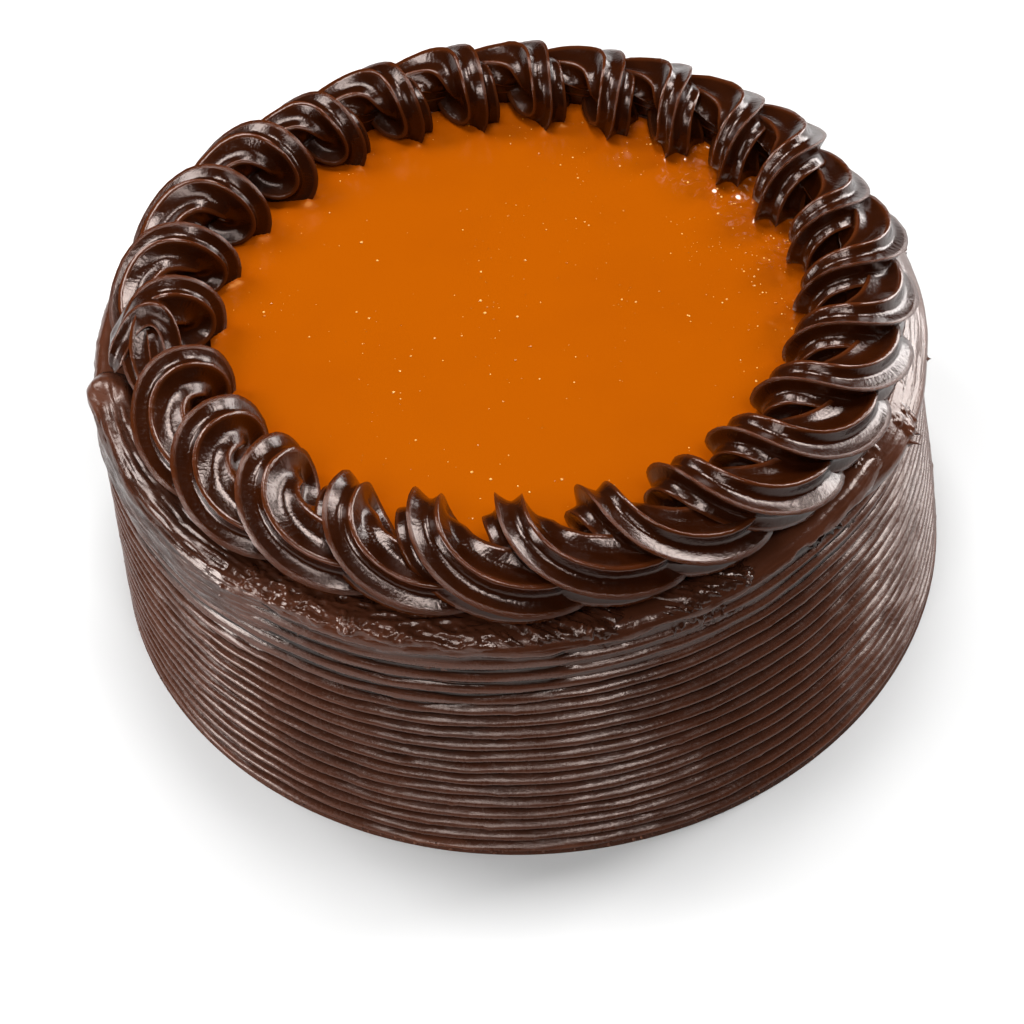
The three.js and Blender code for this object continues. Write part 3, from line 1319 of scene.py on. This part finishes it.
@dataclass
class CrumbLine:
    """Crumbs of cake along the foot of the icing, at the front and left."""

    count: int = 170
    first_bearing: float = -165.0
    last_bearing: float = -50.0
    sunk: float = 0.6
    spread: float = 0.7
    highest: float = 1.2
    crumb_size: float = 0.6
    flatness: float = 0.7
    seed: int = 9

    def build(self, form: CakeForm, finish: CrumbFinish) -> bpy.types.Object:
        """Scatters and dresses the crumbs.

        Args:
            form: Shared form of the cake.
            finish: The crumbs' finish.

        Returns:
            The finished crumbs.
        """
        shape = ShapeTree("crumbs")
        size = shape.sizes(self)
        chance = [shape.chance(self.seed + k) for k in range(8)]
        angle = (size.first_bearing + (size.last_bearing - size.first_bearing) * chance[0]) * DEGREE
        reach = form.base_radius - size.sunk + size.spread * chance[1] ** 2.0
        across = size.crumb_size * (0.3 + 0.7 * chance[2] ** 3.0)
        height = across + size.highest * chance[3] ** 3.0
        place = shape.polar(angle, reach, height)
        points = shape.node("GeometryNodePoints", inputs={"Count": size.count, "Position": place * MM})
        turned = shape.vector(chance[4] * TAU, chance[5] * TAU, chance[6] * TAU)
        scale = shape.vector(across, across * (0.5 + 0.5 * chance[7]), across * size.flatness)
        laid = {"Points": points, "Instance": shape.ball(), "Rotation": turned, "Scale": scale}
        crumbs = shape.node("GeometryNodeInstanceOnPoints", inputs=laid)
        return dress(shape.grow(crumbs, finish.material()))


@dataclass(frozen=True)
class Lamp:
    """A soft square lamp aimed at the cake."""

    name: str
    place: Triple
    side: float
    watts: float

    def hang(self, aim: Vector) -> None:
        """Hangs the lamp and turns it to a point.

        Args:
            aim: That point, in metres like the lamp's own place.
        """
        light = bpy.data.lights.new(self.name, "AREA")
        light.energy = self.watts
        light.size = self.side
        lamp = bpy.data.objects.new(self.name, light)
        lamp.location = self.place
        lamp.rotation_euler = (aim - Vector(self.place)).to_track_quat("-Z", "Y").to_euler()
        bpy.context.scene.collection.objects.link(lamp)


@dataclass
class Studio:
    """Camera, floor and lamps; what belongs to the floor and the lamps is in metres."""

    photo_pixels: float = 1024.0
    focal_pixels: float = 2466.6
    elevation: float = 46.907
    roll: float = -4.546
    distance: float = 600.0
    aim_height: float = 40.0
    aim_right: float = -4.18
    aim_up: float = -25.62
    sensor: float = 36.0
    nearest: float = 0.01
    floor_side: float = 6.0
    floor_drop: float = 0.0001
    sky: float = 0.02
    lamp_aim: float = 0.06
    lamps: tuple[Lamp, ...] = (
        Lamp("top", (0.0, 0.25, 1.1), 0.35, 10.8),
        Lamp("key", (-0.65, 0.35, 0.85), 0.4, 9.0),
        Lamp("rear", (0.75, 0.35, 0.75), 0.3, 7.0),
        Lamp("left", (-1.05, -0.35, 0.15), 0.4, 11.0),
        Lamp("right", (1.05, 0.45, 0.3), 0.4, 8.0),
        Lamp("front", (-0.35, -0.75, 0.95), 0.4, 5.5),
        Lamp("glint", (0.2, -0.6, 1.05), 0.22, 4.5),
        Lamp("backdrop", (0.85, 0.78, 0.12), 0.4, 6.0),
    )

    def place_camera(self) -> None:
        """Places the camera at the photograph's viewing angle and makes it the scene's own."""
        rise = math.radians(self.elevation)
        target = Vector((0.0, 0.0, self.aim_height))
        back = Vector((0.0, -math.cos(rise), math.sin(rise)))
        eye = target + back * self.distance
        right = Vector((1.0, 0.0, 0.0))
        look = target + right * self.aim_right + right.cross(-back) * self.aim_up
        ahead = (look - eye).normalized()
        right = ahead.cross(Vector((0.0, 0.0, 1.0))).normalized()
        above = right.cross(ahead)
        turn = math.radians(self.roll)
        level = right * math.cos(turn) + above * math.sin(turn)
        upright = above * math.cos(turn) - right * math.sin(turn)
        data = bpy.data.cameras.new("camera")
        data.sensor_width = self.sensor
        data.lens = self.focal_pixels / self.photo_pixels * self.sensor
        data.clip_start = self.nearest
        camera = bpy.data.objects.new("camera", data)
        axes = Matrix((level, upright, -ahead)).transposed().to_4x4()
        camera.matrix_world = Matrix.Translation(eye * MM) @ axes
        bpy.context.scene.collection.objects.link(camera)
        bpy.context.scene.camera = camera

    def lay_floor(self, finish: FloorFinish) -> None:
        """Lays the floor just under the cake.

        Args:
            finish: The floor's finish.
        """
        half = self.floor_side / 2
        corners = [(x * half, y * half, -self.floor_drop) for x, y in ((-1, -1), (1, -1), (1, 1), (-1, 1))]
        mesh = bpy.data.meshes.new("studio_floor")
        mesh.from_pydata(corners, [], [(0, 1, 2, 3)])
        mesh.materials.append(finish.material())
        floor = bpy.data.objects.new("studio_floor", mesh)
        bpy.context.scene.collection.objects.link(floor)

    def light(self) -> None:
        """Hangs the lamps and sets the dim surroundings."""
        world = bpy.data.worlds.new("studio")
        world.use_nodes = True
        surroundings = world.node_tree.nodes["Background"]
        surroundings.inputs["Color"].default_value = (1.0, 1.0, 1.0, 1.0)
        surroundings.inputs["Strength"].default_value = self.sky
        bpy.context.scene.world = world
        bpy.context.scene.view_settings.view_transform = "Standard"
        for lamp in self.lamps:
            lamp.hang(Vector((0.0, 0.0, self.lamp_aim)))


def main() -> None:
    """Builds the studio and the cake."""
    logging.basicConfig(level=logging.INFO, format="%(name)s %(message)s")
    studio = Studio()
    studio.place_camera()
    studio.lay_floor(FloorFinish())
    studio.light()
    low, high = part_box(Node.CAKE.value)
    form = CakeForm(base_radius=(high.x - low.x) / 2 / MM, height=high.z / MM)
    cake = IcedCake().build(form, IcingFinish())
    torn_rim = TornRim().build(form, IcingFinish())
    rope = RopeBorder().build(form, PipingFinish())
    ribbon = PullOff().build(form, PipingFinish())
    caramel = CaramelPool()
    pool = caramel.build(form, CaramelFinish(), rope)
    bubbles = caramel.froth(pool, BubbleFinish())
    crumbs = CrumbLine().build(form, CrumbFinish())
    for piece in (cake, torn_rim, rope, ribbon, pool, bubbles, crumbs):
        LOG.info("%s: %d faces", piece.name, len(piece.data.polygons))


if __name__ == "__main__":
    main()
